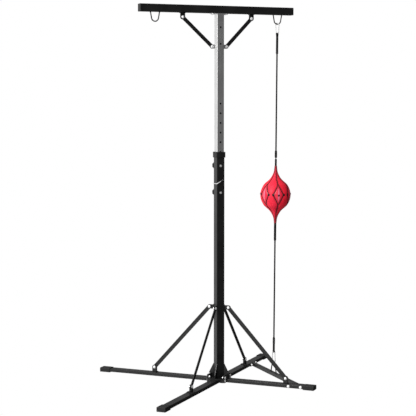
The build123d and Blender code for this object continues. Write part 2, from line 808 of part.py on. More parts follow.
def make_carabiner(plane, length):
    """Pear-shaped snap hook. Local origin is the middle of the small bend, the big bend is along +y.

    Returns the open wire body and its straight gate, which is riveted to a tongue on the body."""
    drop = carabiner_big - carabiner_small
    lean = asin(drop / length)
    side = (cos(lean), -sin(lean))
    along = (sin(lean), cos(lean))
    small = (carabiner_small * side[0], carabiner_small * side[1])
    big = (carabiner_big * side[0], length + carabiner_big * side[1])
    way = (-along[0], along[1])
    nose = (-big[0] - gate_land * way[0], big[1] - gate_land * way[1])
    heel = (-small[0] + gate_land * way[0], small[1] + gate_land * way[1])
    pivot = (heel[0] + gate_pivot * way[0], heel[1] + gate_pivot * way[1])
    tongue = [
        (spot[0] + s * tongue_half_width * way[1], spot[1] - s * tongue_half_width * way[0])
        for spot, s in ((heel, -1), (pivot, -1), (pivot, 1), (heel, 1))
    ]
    with BuildPart() as body:
        with BuildLine(plane) as path:
            Line(heel, (-small[0], small[1]))
            ThreePointArc((-small[0], small[1]), (0, -carabiner_small), small)
            Line(small, big)
            ThreePointArc(big, (0, length + carabiner_big), (-big[0], big[1]))
            Line((-big[0], big[1]), nose)
        with BuildSketch(Plane(origin=path.line @ 0, z_dir=path.line % 0)):
            Circle(carabiner_wire)
        sweep(path=path.line)
        with BuildSketch(plane.offset(-tongue_thickness / 2)):
            with BuildLine():
                Polyline(*tongue, close=True)
            make_face()
            with Locations(pivot):
                Circle(tongue_half_width)
                Circle(rivet_hole, mode=Mode.SUBTRACT)
        extrude(amount=tongue_thickness)
    gate_high = (nose[0] - gate_gap * way[0], nose[1] - gate_gap * way[1])
    with BuildPart() as gate:
        with BuildLine(plane) as gate_path:
            Line(pivot, gate_high)
        with BuildSketch(Plane(origin=gate_path.line @ 0, z_dir=gate_path.line % 0)):
            Circle(gate_radius)
        sweep(path=gate_path.line)
        with Locations(gate_path.line @ 0):
            Sphere(gate_radius)
        with BuildSketch(plane.offset(-gate_slot)):
            with Locations(pivot):
                Circle(gate_slot_radius)
        extrude(amount=2 * gate_slot, mode=Mode.SUBTRACT)
        with BuildSketch(plane.offset(-rivet_reach)):
            with Locations(pivot):
                Circle(rivet_radius)
        extrude(amount=2 * rivet_reach)
    return body.part, gate.part


top_small = top_eye_height + carabiner_small
top_big = hook_bottom + hook_wire + carabiner_play + carabiner_wire - carabiner_big
top_plane = Plane(
    origin=(line_x, 0, top_small), x_dir=heading(carabiner_turn), z_dir=heading(carabiner_turn - 90)
)
body, gate = make_carabiner(top_plane, top_big - top_small)
finish_on_line(body, "top_carabiner")
finish_on_line(gate, "top_gate")

low_small = low_eye_height - carabiner_small
low_big = anchor_top - hook_wire - carabiner_play - carabiner_wire + carabiner_big
low_plane = Plane(origin=(line_x, 0, low_small), x_dir=(-1, 0, 0), z_dir=(0, -1, 0))
body, gate = make_carabiner(low_plane, low_small - low_big)
finish_on_line(body, "anchor_carabiner")
finish_on_line(gate, "anchor_gate")

# ---- straps and cords ---------------------------------------------------------------------------
eye_hole = carabiner_wire + strap_eye_gap
eye_outer = eye_hole + 3


def strap_with_eye(plane, reach):
    """Doubled webbing: an eye round the local origin, closing into a flat strap along local y."""
    with BuildPart() as strap:
        with BuildSketch(plane.offset(-strap_half_width)):
            Circle(eye_outer)
            with BuildLine():
                Polyline(
                    (-eye_outer, 0),
                    (-strap_half_thick, 3 * eye_outer),
                    (-strap_half_thick, reach),
                    (strap_half_thick, reach),
                    (strap_half_thick, 3 * eye_outer),
                    (eye_outer, 0),
                    close=True,
                )
            make_face()
            Circle(eye_hole, mode=Mode.SUBTRACT)
        extrude(amount=2 * strap_half_width)
    return strap.part


upper_plane = Plane(
    origin=(line_x, 0, top_eye_height), x_dir=heading(carabiner_turn - 90), z_dir=heading(carabiner_turn)
)
strap_reach = top_eye_height - strap_low
finish_on_line(strap_with_eye(upper_plane, strap_reach), "upper_strap")

with BuildPart() as upper_cord:
    with BuildSketch(Plane(origin=(line_x, 0, knot_top + cord_end_gap))):
        Circle(cord_radius)
    extrude(amount=strap_low - knot_top - 2 * cord_end_gap)
finish_on_line(upper_cord.part, "upper_cord")

low_strap_plane = Plane(origin=(line_x, 0, low_eye_height), x_dir=(0, 1, 0), z_dir=(1, 0, 0))
with BuildPart() as lower_strap:
    add(strap_with_eye(low_strap_plane, lower_strap_step - low_eye_height))
    with BuildSketch(Plane(origin=(line_x, 0, lower_strap_step))):
        Circle(knot_radius)
    extrude(amount=lower_strap_top - lower_strap_step)
finish_on_line(lower_strap.part, "lower_strap")

with BuildPart() as lower_cord:
    with BuildSketch(Plane(origin=(line_x, 0, lower_strap_top + cord_end_gap))):
        Circle(cord_radius)
    extrude(amount=ball_strap_low - lower_strap_top - 2 * cord_end_gap)
finish_on_line(lower_cord.part, "lower_cord")

# ---- ball ---------------------------------------------------------------------------------------
ball_plane = Plane(origin=(line_x, 0, ball_centre), x_dir=(1, 0, 0), z_dir=(0, -1, 0))
ball_axis = Axis((line_x, 0, ball_centre), (0, 0, 1))
valve_plane = Plane(origin=(line_x, 0, ball_centre), z_dir=heading(valve_turn))
shape = ((1.0, 0.0), (0.785, 0.336), (0.363, 0.549), (0.137, 0.768))  # share of radius, of half height


def ball_profile(inset):
    """Half outline of the double teardrop, drawn in by inset, closed along the ball's axis."""
    upper = [(r * ball_radius - inset, h * ball_half_height) for r, h in shape]
    tip = (ball_tip - min(inset, ball_tip - 1), ball_half_height - inset)
    right = [(x, -y) for x, y in reversed(upper[1:])] + upper
    points = [(tip[0], -tip[1])] + right + [tip]
    with BuildLine() as outline:
        Spline(*points, tangents=((0.25, 1), (-0.25, 1)))
        Polyline(tip, (0, tip[1]), (0, -tip[1]), (tip[0], -tip[1]))
    make_face(outline.edges())


with BuildPart() as casing:
    with BuildSketch(ball_plane):
        ball_profile(0)
    revolve(axis=ball_axis)
    with BuildSketch(ball_plane):
        ball_profile(ball_skin)
    revolve(axis=ball_axis, mode=Mode.SUBTRACT)
    with BuildSketch(valve_plane):
        Circle(valve_radius)
    extrude(amount=ball_radius + 5, mode=Mode.SUBTRACT)
finish_on_line(casing.part, "ball_casing")

with BuildPart() as bladder:
    with BuildSketch(ball_plane):
        Circle(bladder_radius)
        Circle(bladder_radius - bladder_wall, mode=Mode.SUBTRACT)
        with Locations((-bladder_radius, 0)):
            Rectangle(2 * bladder_radius, 2 * bladder_radius, mode=Mode.SUBTRACT)
    revolve(axis=ball_axis)
    with BuildSketch(valve_plane):
        Circle(valve_stem)
    extrude(amount=ball_radius + 5, mode=Mode.SUBTRACT)
finish_on_line(bladder.part, "ball_bladder")

with BuildPart() as ball_straps:
    for low, high, radius in (
        (ball_centre + ball_half_height, knot_low, neck_radius),
        (knot_low, knot_top, knot_radius),
        (ball_strap_low, ball_centre - ball_half_height, ball_strap_radius),
    ):
        with BuildSketch(Plane(origin=(line_x, 0, low))):
            Circle(radius)
        extrude(amount=high - low)
finish_on_line(ball_straps.part, "ball_straps")
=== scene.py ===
"""Looks of the boxing stand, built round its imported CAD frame. Lengths are metres, +Z is up."""
import json
import math

import bmesh
import bpy
import numpy as np
from mathutils import Matrix, Vector


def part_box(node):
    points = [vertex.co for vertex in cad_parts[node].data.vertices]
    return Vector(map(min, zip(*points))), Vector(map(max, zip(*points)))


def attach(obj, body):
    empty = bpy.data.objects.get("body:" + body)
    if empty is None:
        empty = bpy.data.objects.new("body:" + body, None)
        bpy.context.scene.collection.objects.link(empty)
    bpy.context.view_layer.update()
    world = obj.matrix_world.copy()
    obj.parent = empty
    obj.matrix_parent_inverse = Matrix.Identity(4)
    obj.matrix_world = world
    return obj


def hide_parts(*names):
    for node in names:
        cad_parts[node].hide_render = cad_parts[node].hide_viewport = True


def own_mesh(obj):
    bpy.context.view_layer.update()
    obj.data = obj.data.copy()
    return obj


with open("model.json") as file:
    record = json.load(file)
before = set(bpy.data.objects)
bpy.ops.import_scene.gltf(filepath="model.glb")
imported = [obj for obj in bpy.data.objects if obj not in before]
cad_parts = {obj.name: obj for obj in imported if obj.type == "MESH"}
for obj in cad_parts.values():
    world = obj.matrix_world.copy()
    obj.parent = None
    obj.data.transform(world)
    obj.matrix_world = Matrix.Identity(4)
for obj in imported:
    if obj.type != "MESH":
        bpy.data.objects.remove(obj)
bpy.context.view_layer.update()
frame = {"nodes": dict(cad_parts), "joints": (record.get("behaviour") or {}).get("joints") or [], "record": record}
nodes = frame["nodes"]
MM = 0.001
TAU = 2 * math.pi


# ---- places read from the frame -----------------------------------------------------------------
def joint(name):
    return next(j for j in frame["joints"] if j["name"] == name)


def half_width(name):
    low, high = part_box(name)
    return (high.x - low.x) / 2


# The ball's line is built upright under its hook, then leaned back to its lower hook.
line_top = Vector(joint("fore_swing")["pos_m"])
line_foot = Vector(joint("anchor_side")["pos_m"])
line_lean = math.atan2(line_foot.y - line_top.y, line_top.z - line_foot.z)
LEAN = Matrix.Translation(line_top) @ Matrix.Rotation(line_lean, 4, "X") @ Matrix.Translation(-line_top)


def upright(height):
    """Height on the upright line of something that stands at this height on the leaning one."""
    return line_top.z - (line_top.z - height) / math.cos(line_lean)


def span(name):
    """Lowest and highest point of a node on the upright line."""
    low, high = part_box(name)
    return upright(low.z), upright(high.z)


line = Vector((line_top.x, line_top.y, 0))
ball_bottom, ball_top = span("ball_casing")
ball_centre = Vector((line.x, line.y, (ball_bottom + ball_top) / 2))
ball_half = (ball_top - ball_bottom) / 2
ball_radius = half_width("ball_casing")
upper_cord_low, upper_cord_high = span("upper_cord")
lower_cord_low, lower_cord_high = span("lower_cord")
upper_strap_low, upper_strap_high = span("upper_strap")
lower_strap_low, lower_strap_high = span("lower_strap")
ball_strap_low, ball_strap_high = span("ball_straps")


# ---- small mesh tools ---------------------------------------------------------------------------
def add_object(name, mesh, body, *materials):
    """Show a mesh of the ball's line, leaned with it, with the body it moves with."""
    mesh.transform(LEAN)
    obj = bpy.data.objects.new(name, mesh)
    bpy.context.scene.collection.objects.link(obj)
    for material in materials:
        mesh.materials.append(material)
    mesh.shade_smooth()
    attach(obj, body)
    return obj


def mesh_from(name, verts, faces, uvs=None):
    """Mesh with outward faces. uvs holds one pair for each corner of each face, in order."""
    mesh = bpy.data.meshes.new(name)
    mesh.from_pydata([tuple(v) for v in verts], [], faces)
    if uvs is not None:
        layer = mesh.uv_layers.new(name="UVMap")
        for slot, pair in zip(layer.data, uvs):
            slot.uv = pair
    mesh.update()
    return mesh


def frames_along(points, up=None):
    """A position and two cross directions at each point, carried along the path without twist."""
    points = [Vector(p) for p in points]
    count = len(points)
    tangents = []
    for i in range(count):
        ahead = points[min(i + 1, count - 1)]
        behind = points[max(i - 1, 0)]
        tangents.append((ahead - behind).normalized())
    side = up or (Vector((1, 0, 0)) if abs(tangents[0].x) < 0.8 else Vector((0, 1, 0)))
    result = []
    for point, tangent in zip(points, tangents):
        side = (side - tangent * side.dot(tangent)).normalized()
        result.append((point, side, tangent.cross(side)))
    return result


def sweep(points, section, up=None):
    """Skin a closed section, a list of (side, cross) pairs, along a path, with capped ends."""
    stations = frames_along(points, up)
    ring = len(section)
    verts, faces, uvs = [], [], []
    lengths = [0.0]
    for a, b in zip(stations, stations[1:]):
        lengths.append(lengths[-1] + (b[0] - a[0]).length)
    for point, side, cross in stations:
        verts += [point + side * s + cross * c for s, c in section]
    for i in range(len(stations) - 1):
        for j in range(ring):
            k = (j + 1) % ring
            faces.append((i * ring + j, i * ring + k, (i + 1) * ring + k, (i + 1) * ring + j))
            u0, u1 = j / ring, (j + 1) / ring
            uvs += [(u0, lengths[i]), (u1, lengths[i]), (u1, lengths[i + 1]), (u0, lengths[i + 1])]
    first = tuple(reversed(range(ring)))
    last = tuple(range((len(stations) - 1) * ring, len(stations) * ring))
    for face, v in ((first, 0.0), (last, lengths[-1])):
        faces.append(face)
        uvs += [(0.5, v)] * ring
    return verts, faces, uvs


def circle(radius, count):
    angles = [TAU * i / count for i in range(count)]
    return [(radius * math.cos(a), radius * math.sin(a)) for a in angles]


def rounded_strip(half_wide, half_thick, corner):
    """Outline of a flat strap's cut end."""
    steps = 3
    points = []
    for k, (sx, sy) in enumerate(((1, 1), (-1, 1), (-1, -1), (1, -1))):
        for i in range(steps + 1):
            angle = TAU / 4 * (k + i / steps)
            x = sx * (half_wide - corner) + corner * math.cos(angle)
            y = sy * (half_thick - corner) + corner * math.sin(angle)
            points.append((x, y))
    return points


def join_meshes(name, parts):
    """One mesh from (verts, faces, uvs) parts."""
    verts, faces, uvs = [], [], []
    for part_verts, part_faces, part_uvs in parts:
        start = len(verts)
        verts += part_verts
        faces += [tuple(start + i for i in face) for face in part_faces]
        uvs += part_uvs
    return mesh_from(name, verts, faces, uvs)


def show(name, parts, body, material, instead_of=None):
    """Show (verts, faces, uvs) parts as one piece, in place of a CAD node if one is named."""
    piece = add_object(name, join_meshes(name, parts), body, materials[material])
    if instead_of:
        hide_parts(instead_of)


def lathe(profile, centre, count):
    """Closed upright solid of revolution: profile is (radius, height) from pole to pole."""
    verts, faces, uvs = [], [], []
    rings = []
    for radius, height in profile:
        if radius < 1e-7:
            rings.append([len(verts)])
            verts.append(Vector((0, 0, height)))
        else:
            rings.append(list(range(len(verts), len(verts) + count)))
            verts += [Vector((x, y, height)) for x, y in circle(radius, count)]
    for low, high in zip(rings, rings[1:]):
        for j in range(count):
            k = (j + 1) % count
            corners = []
            for ring, at in ((low, j), (low, k), (high, k), (high, j)):
                index = ring[0] if len(ring) == 1 else ring[at]
                if index not in corners:
                    corners.append(index)
            faces.append(tuple(corners))
            uvs += [(verts[i].x, verts[i].z) for i in corners]
    return [centre + v for v in verts], faces, uvs


# ---- material tools -----------------------------------------------------------------------------
class Shader:
    """A material being built from nodes, with short names for the steps that repeat."""

    def __init__(self, name):
        self.material = bpy.data.materials.new(name)
        self.material.use_nodes = True
        self.tree = self.material.node_tree
        self.bsdf = next(n for n in self.tree.nodes if n.type == "BSDF_PRINCIPLED")

    def add(self, kind, values=None, **settings):
        node = self.tree.nodes.new(kind)
        for key, value in settings.items():
            setattr(node, key, value)
        for key, value in (values or {}).items():
            self.put(node.inputs[key], value)
        return node

    def put(self, socket, value):
        if isinstance(value, bpy.types.NodeSocket):
            self.tree.links.new(value, socket)
        else:
            socket.default_value = value

    def set(self, **values):
        for key, value in values.items():
            self.put(self.bsdf.inputs[key.replace("_", " ")], value)

    def place(self, uv=False):
        return self.add("ShaderNodeTexCoord").outputs["UV" if uv else "Object"]

    def stretch(self, vector, scale):
        return self.add("ShaderNodeMapping", {"Vector": vector, "Scale": scale}).outputs["Vector"]

    def noise(self, vector, scale, detail=3.0):
        values = {"Vector": vector, "Scale": scale, "Detail": detail, "Roughness": 0.55}
        return self.add("ShaderNodeTexNoise", values).outputs["Fac"]

    def spread(self, value, low, high, from_low=0.3, from_high=0.7):
        """Remap a noise value to the wanted range."""
        node = self.add("ShaderNodeMapRange", {"Value": value})
        node.inputs["From Min"].default_value = from_low
        node.inputs["From Max"].default_value = from_high
        self.put(node.inputs["To Min"], low)
        self.put(node.inputs["To Max"], high)
        return node.outputs["Result"]

    def math(self, operation, a, b=0.0, c=0.0):
        node = self.add("ShaderNodeMath", operation=operation)
        for socket, value in zip(node.inputs, (a, b, c)):
            self.put(socket, value)
        return node.outputs[0]

    def mix(self, share, a, b):
        """Blend of two colours; 6, 7 and 2 are the node's colour sockets."""
        node = self.add("ShaderNodeMix", data_type="RGBA")
        self.put(node.inputs[0], share)
        self.put(node.inputs[6], a)
        self.put(node.inputs[7], b)
        return node.outputs[2]

    def bump(self, height, distance, strength=1.0, under=None):
        values = {"Height": height, "Distance": distance, "Strength": strength}
        node = self.add("ShaderNodeBump", values)
        if under is not None:
            self.put(node.inputs["Normal"], under)
        return node.outputs["Normal"]

    def edges(self, radius):
        """1 on sharp outer edges, 0 on flat ground."""
        soft = self.add("ShaderNodeBevel", {"Radius": radius}, samples=4).outputs["Normal"]
        flat = self.add("ShaderNodeNewGeometry").outputs["Normal"]
        agree = self.add("ShaderNodeVectorMath", operation="DOT_PRODUCT")
        self.put(agree.inputs[0], soft)
        self.put(agree.inputs[1], flat)
        return self.spread(agree.outputs["Value"], 1.0, 0.0, 0.75, 0.97)

    def attribute(self, name):
        return self.add("ShaderNodeAttribute", attribute_name=name).outputs["Fac"]


def grey(value):
    return (value, value, value, 1)


def scaled(colour, factor):
    """The colour made lighter or darker."""
    return tuple(c * factor for c in colour[:3]) + (1,)


def powder_coat(name, colour, wear_colour):
    """Satin powder coat: orange-peel bump, cloudy gloss, a little wear on edges."""
    s = Shader(name)
    place = s.place()
    cloud = s.noise(place, 9.0)
    grain = s.noise(place, 650.0, 2.0)
    worn = s.math("MULTIPLY", s.edges(1.2 * MM), s.spread(s.noise(place, 60.0), 0.0, 0.6, 0.42, 0.66))
    s.set(
        Base_Color=s.mix(worn, s.mix(s.spread(cloud, 0.0, 0.5), colour, wear_colour), wear_colour),
        Roughness=s.spread(cloud, 0.32, 0.46),
        Specular_IOR_Level=0.42,
        Normal=s.bump(grain, 0.12 * MM),
    )
    return s.material


def plastic(name, colour, roughness=(0.42, 0.58)):
    """Moulded plastic with a fine spark-eroded texture."""
    s = Shader(name)
    place = s.place()
    fine = s.noise(place, 1400.0, 1.0)
    broad = s.noise(place, 25.0)
    s.set(
        Base_Color=s.mix(s.spread(broad, 0.0, 1.0), colour, scaled(colour, 1.5)),
        Roughness=s.spread(broad, *roughness),
        Specular_IOR_Level=0.35,
        Normal=s.bump(fine, 0.15 * MM),
    )
    return s.material


def satin_metal(name, colour, roughness, bore):
    """Zinc-plated tube: dull metal with spangle, length-wise draw marks and faint grey stains.

    Inside the given half width of the tube the colour is painted dark: painted shade in the tube's hollow."""
    s = Shader(name)
    place = s.place()
    parts = s.add("ShaderNodeSeparateXYZ", {"Vector": place})
    side, front = (s.math("ABSOLUTE", parts.outputs[axis]) for axis in "XY")
    # inside the bore the colour is set dark: painted shade in the tube's hollow
    painted_bore_shade = s.math("LESS_THAN", s.math("MAXIMUM", side, front), bore)
    drawn = s.noise(s.stretch(place, (1, 1, 0.03)), 700.0, 3.0)
    spangle = s.add("ShaderNodeTexVoronoi", {"Vector": place, "Scale": 160.0}).outputs["Distance"]
    stain = s.noise(place, 14.0, 5.0)
    flake = s.spread(spangle, 0.0, 0.35, 0.1, 0.7)
    dull = scaled(colour, 0.8)
    outside = s.mix(s.spread(stain, 0.0, 0.7, 0.42, 0.7), s.mix(flake, colour, dull), dull)
    s.set(
        Base_Color=s.mix(painted_bore_shade, outside, grey(0.03)),
        Metallic=1.0,
        Roughness=s.spread(stain, *roughness),
        Normal=s.bump(drawn, 0.04 * MM, 0.8),
    )
    return s.material


def plated(name, colour, roughness, metal, scratch=0.03 * MM):
    """Bright plated steel with fine drawn scratches and slight cloudiness; metal below 1 is duller."""
    s = Shader(name)
    place = s.place()
    drawn = s.noise(s.stretch(place, (1, 1, 0.06)), 1800.0, 2.0)
    cloud = s.noise(place, 120.0)
    s.set(
        Base_Color=s.mix(s.spread(cloud, 0.0, 1.0), colour, scaled(colour, 0.82)),
        Metallic=metal,
        Roughness=s.spread(cloud, *roughness),
        Normal=s.bump(drawn, scratch),
    )
    return s.material


def webbing(name, colour, pitch=1.1 * MM, around=9):
    """Woven nylon: UV runs round the strap in u and along it, in metres, in v."""
    s = Shader(name)
    parts = s.add("ShaderNodeSeparateXYZ", {"Vector": s.place(uv=True)})
    across = s.math("MULTIPLY", parts.outputs["X"], TAU * around)
    along = s.math("MULTIPLY", parts.outputs["Y"], TAU / pitch)
    warp = s.math("SINE", s.math("ADD", across, s.math("MULTIPLY", s.math("SINE", along), 0.9)))
    weft = s.math("SINE", s.math("ADD", along, across))
    thread = s.math("MULTIPLY_ADD", s.math("MULTIPLY", warp, weft), 0.5, 0.5)
    fuzz = s.noise(s.place(), 900.0)
    worn = s.math("MULTIPLY", thread, s.spread(fuzz, 0.4, 1.0))
    s.set(
        Base_Color=s.mix(worn, colour, scaled(colour, 2.6)),
        Roughness=0.72,
        Specular_IOR_Level=0.15,
        Normal=s.bump(thread, 0.35 * MM, 0.8),
    )
    return s.material


def leather(name, colour, painted_wrinkle_shade, glow, gloss):
    """Smooth leather with fine grain. The mesh's own values give the tone of a panel, its dark
    seams with painted shade in the valleys beside them, and the pale streak in a diamond."""
    seam_line_and_valley_shade = (0.02, 0.004, 0.006, 1)
    streak_pale = (0.62, 0.36, 0.55, 1)
    s = Shader(name)
    place = s.place()
    cells = s.add("ShaderNodeTexVoronoi", {"Vector": place, "Scale": 520.0}, feature="DISTANCE_TO_EDGE")
    pores = s.spread(cells.outputs["Distance"], 0.0, 1.0, 0.0, 0.25)
    blotch = s.noise(place, 34.0, 4.0)
    streak = s.noise(s.stretch(place, (1, 1, 0.22)), 110.0, 4.0)
    field = s.mix(s.math("MULTIPLY", s.attribute("tone"), 0.35), colour, glow)
    # darker red along the long vertical streaks: painted shade in the leather's wrinkles
    field = s.mix(s.spread(streak, 0.0, 0.5, 0.48, 0.72), field, painted_wrinkle_shade)
    field = s.mix(s.math("MULTIPLY", s.attribute("streak"), 0.55), field, streak_pale)
    s.set(
        # dark seam line, with painted shade in the valleys beside the seams
        Base_Color=s.mix(s.attribute("seam"), field, seam_line_and_valley_shade),
        Roughness=s.spread(blotch, *gloss),
        Specular_IOR_Level=0.3,
        Coat_Weight=0.06,
        Coat_Roughness=0.3,
        Normal=s.bump(pores, 0.12 * MM, 0.7, s.bump(streak, 0.6 * MM, 0.35)),
    )
    return s.material


POST_BORE = 21 * MM


def build_materials():
    """Materials by the record's slots, and four more for what the slots don't tell apart."""
    return {
        "black_steel": powder_coat("powder_black", grey(0.0045), grey(0.012)),
        "zinc_steel": satin_metal("satin_zinc", grey(0.84), (0.3, 0.42), POST_BORE),
        "black_plastic": plastic("moulded_black", grey(0.005)),
        "bright_steel": plated("zinc_plate", grey(0.95), (0.25, 0.4), 0.35),
        "dull_steel": plated("dulled_zinc", grey(0.42), (0.4, 0.55), 0.35),
        "snap_steel": plated("snap_nickel", grey(0.92), (0.14, 0.24), 0.7, 0.01 * MM),
        "black_webbing": webbing("webbing_black", grey(0.002)),
        "elastic_cord": webbing("cord_braid", grey(0.007), 2.4 * MM, 4),
        "red_leather": leather("panel_red", (0.86, 0.009, 0.034, 1), (0.5, 0.006, 0.018, 1),
                               (0.95, 0.022, 0.07, 1), (0.45, 0.6)),
        "diamond_leather": leather("diamond_red", (0.8, 0.02, 0.05, 1), (0.5, 0.01, 0.03, 1),
                                   (0.85, 0.05, 0.1, 1), (0.26, 0.36)),
        "bladder_rubber": plastic("rubber_black", grey(0.01)),
        "thread": webbing("thread_dark", grey(0.005), 0.8 * MM, 3),
        "dark_rivet": plastic("rivet_black", grey(0.003), (0.62, 0.75)),
    }


DULLED = {"guide_screws": "dull_steel"}


def dress_nodes():
    """Give each CAD node its material, and round its edges off slightly."""
    for row in frame["record"]["subparts"]:
        node = nodes[row["node"]]
        node.data.materials.clear()
        node.data.materials.append(materials[DULLED.get(row["node"], row["material_slot"])])
    for node in nodes.values():
        soft = node.modifiers.new("soft_edges", "BEVEL")
        soft.width = 0.5 * MM
        soft.segments = 2
        soft.limit_method = "ANGLE"
        soft.angle_limit = math.radians(50)
        soft.use_clamp_overlap = True


materials = build_materials()
dress_nodes()


# ---- ball ---------------------------------------------------------------------------------------
# height as a share of half the ball's length, and radius as a share of its largest one
SHARES = ((0.0, 1.0), (0.336, 0.785), (0.549, 0.363), (0.768, 0.137), (1.0, 0.065))
SEAMS = 6
SEAM_TURN = math.radians(-102.8)
DIAMOND_HALF = 64 * MM
DIAMOND_RISE = 6 * MM
DIAMOND_TURN = math.radians(21.2)
VALVE_DROP = 3 * MM
PIPING_RADIUS = 1.5 * MM
STITCH_OFFSET = 3.2 * MM
STITCH_PITCH = 4.6 * MM
STITCH_HALF = 1.5 * MM
STITCH_RADIUS = 0.4 * MM


def ball_outline(height):
    """Radius of the double teardrop at a height from its middle, by cubic interpolation."""
    x = min(abs(height) / ball_half, 1.0)
    slopes = []
    for i in range(len(SHARES)):
        low = SHARES[max(i - 1, 0)]
        high = SHARES[min(i + 1, len(SHARES) - 1)]
        slopes.append(0.0 if i == 0 else (high[1] - low[1]) / (high[0] - low[0]))
    for i in range(len(SHARES) - 1):
        (a, ra), (b, rb) = SHARES[i], SHARES[i + 1]
        if x <= b:
            t = (x - a) / (b - a)
            width = b - a
            value = (
                (2 * t**3 - 3 * t**2 + 1) * ra
                + (t**3 - 2 * t**2 + t) * width * slopes[i]
                + (3 * t**2 - 2 * t**3) * rb
                + (t**3 - t**2) * width * slopes[i + 1]
            )
            return value * ball_radius
    return SHARES[-1][1] * ball_radius


def diamond_width(height):
    """Half angle of the diamond at a height, 0 beyond its points."""
    return DIAMOND_TURN * max(0.0, 1 - abs(height - DIAMOND_RISE) / DIAMOND_HALF)


def ball_point(angle, height, lift=0.0):
    radius = ball_outline(height) + lift
    return ball_centre + Vector((radius * math.cos(angle), radius * math.sin(angle), height))


def diamond_rows():
    return [DIAMOND_RISE + DIAMOND_HALF * i / 24 for i in range(-24, 25)]


def ball_rows():
    """Heights of the ball's rows, with the diamonds' points on rows of their own."""
    low, high = DIAMOND_RISE - DIAMOND_HALF, DIAMOND_RISE + DIAMOND_HALF
    below = [low - (ball_half + low) * i / 36 for i in range(36, 0, -1)]
    above = [high + (ball_half - high) * i / 34 for i in range(1, 35)]
    return below + diamond_rows() + above


def seam_depth(width):
    """How far a seam lies under the crest of a panel of this width."""
    return min(5.0 * MM, 0.12 * width)


def puff(share, width):
    """Lift of a panel at a share of its width: full in the middle, drawn in at both seams."""
    edge = abs(2 * share - 1)
    return seam_depth(width) * (0.35 - 0.75 * edge**2.4 - 0.25 * edge**14)


def panel_width(height):
    """Width of the panels that meet at the seam at this height, the narrower of the two."""
    radius = ball_outline(height)
    diamond = 2 * diamond_width(height) * radius
    gore = TAU / SEAMS * radius - diamond
    return min(gore, diamond) if diamond > 4 * MM else gore


def seam_lift(height):
    return puff(0, panel_width(height))


def make_ball():
    """Leather cover: six gores and six diamonds, each crowned between its seams."""
    verts, faces, kinds = [], [], []
    marks = {"seam": [], "tone": [], "streak": []}
    rows = ball_rows()

    def add_vertex(angle, height, lift, distance, tone, streak):
        crease = math.exp(-((distance / (2.4 * MM)) ** 2))
        # the wider band beside each seam is painted shade in its valley; the narrow crease is the dark seam line
        shadow = 0.55 * math.exp(-((distance / (7 * MM)) ** 2))
        verts.append(ball_point(angle, height, lift))
        marks["seam"].append(max(crease, shadow))
        marks["tone"].append(tone)
        marks["streak"].append(streak)
        return len(verts) - 1

    def patch(edges, heights, columns, kind, tone):
        """One sewn panel between two seam lines, given as angles at each height.

        kind is 1 for a diamond, which carries a pale streak up its middle."""
        grid = []
        for height, (left, right) in zip(heights, edges):
            width = (right - left) * ball_outline(height)
            if width < 1e-6:
                grid.append([add_vertex(left, height, seam_lift(height), 0, tone, 0)])
                continue
            row = []
            for c in range(columns + 1):
                share = 0.5 - 0.5 * math.cos(math.pi * c / columns)
                edge = abs(2 * share - 1)
                lift = puff(share, width) + (seam_lift(height) - puff(0, width)) * edge**6
                distance = (1 - edge) / 2 * width
                streak = 0.0
                if kind:
                    across = (share - 0.5) * width / (3.2 * MM)
                    up = (height - DIAMOND_RISE) / (0.66 * DIAMOND_HALF)
                    streak = math.exp(-(across**2)) * max(0.0, 1 - up**4)
                angle = left + (right - left) * share
                row.append(add_vertex(angle, height, lift, distance, tone, streak))
            grid.append(row)
        for low, high in zip(grid, grid[1:]):
            for c in range(columns):
                corners = []
                for ring, at in ((low, c), (low, c + 1), (high, c + 1), (high, c)):
                    index = ring[0] if len(ring) == 1 else ring[at]
                    if index not in corners:
                        corners.append(index)
                if len(corners) > 2:
                    faces.append(tuple(corners))
                    kinds.append(kind)

    inner = diamond_rows()
    for k in range(SEAMS):
        here = SEAM_TURN + TAU * k / SEAMS
        after = SEAM_TURN + TAU * (k + 1) / SEAMS
        patch([(here + diamond_width(h), after - diamond_width(h)) for h in rows], rows, 20, 0, k % 2)
        patch([(here - diamond_width(h), here + diamond_width(h)) for h in inner], inner, 12, 1, 0)

    mesh = mesh_from("ball_cover", verts, faces)
    for name, values in marks.items():
        layer = mesh.attributes.new(name, "FLOAT", "POINT")
        layer.data.foreach_set("value", np.array(values, np.float32))
    mesh.polygons.foreach_set("material_index", kinds)
    build = bmesh.new()
    build.from_mesh(mesh)
    bmesh.ops.remove_doubles(build, verts=build.verts, dist=1e-5)
    for upper in (True, False):
        rim = [e for e in build.edges if e.is_boundary and (e.verts[0].co.z > ball_centre.z) == upper]
        bmesh.ops.contextual_create(build, geom=rim)
    bmesh.ops.recalc_face_normals(build, faces=build.faces)
    build.to_mesh(mesh)
    build.free()
    leathers = materials["red_leather"], materials["diamond_leather"]
    cover = add_object("ball_cover", mesh, "ball", *leathers)
    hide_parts("ball_casing")


def seam_paths():
    """Each seam as points on the ball: one from pole to pole down each side of its diamond."""
    paths = []
    for k in range(SEAMS):
        here = SEAM_TURN + TAU * k / SEAMS
        for side in (-1, 1):
            heights = ball_rows() if side > 0 else diamond_rows()
            paths.append([(here + side * diamond_width(h), h) for h in heights])
    return paths


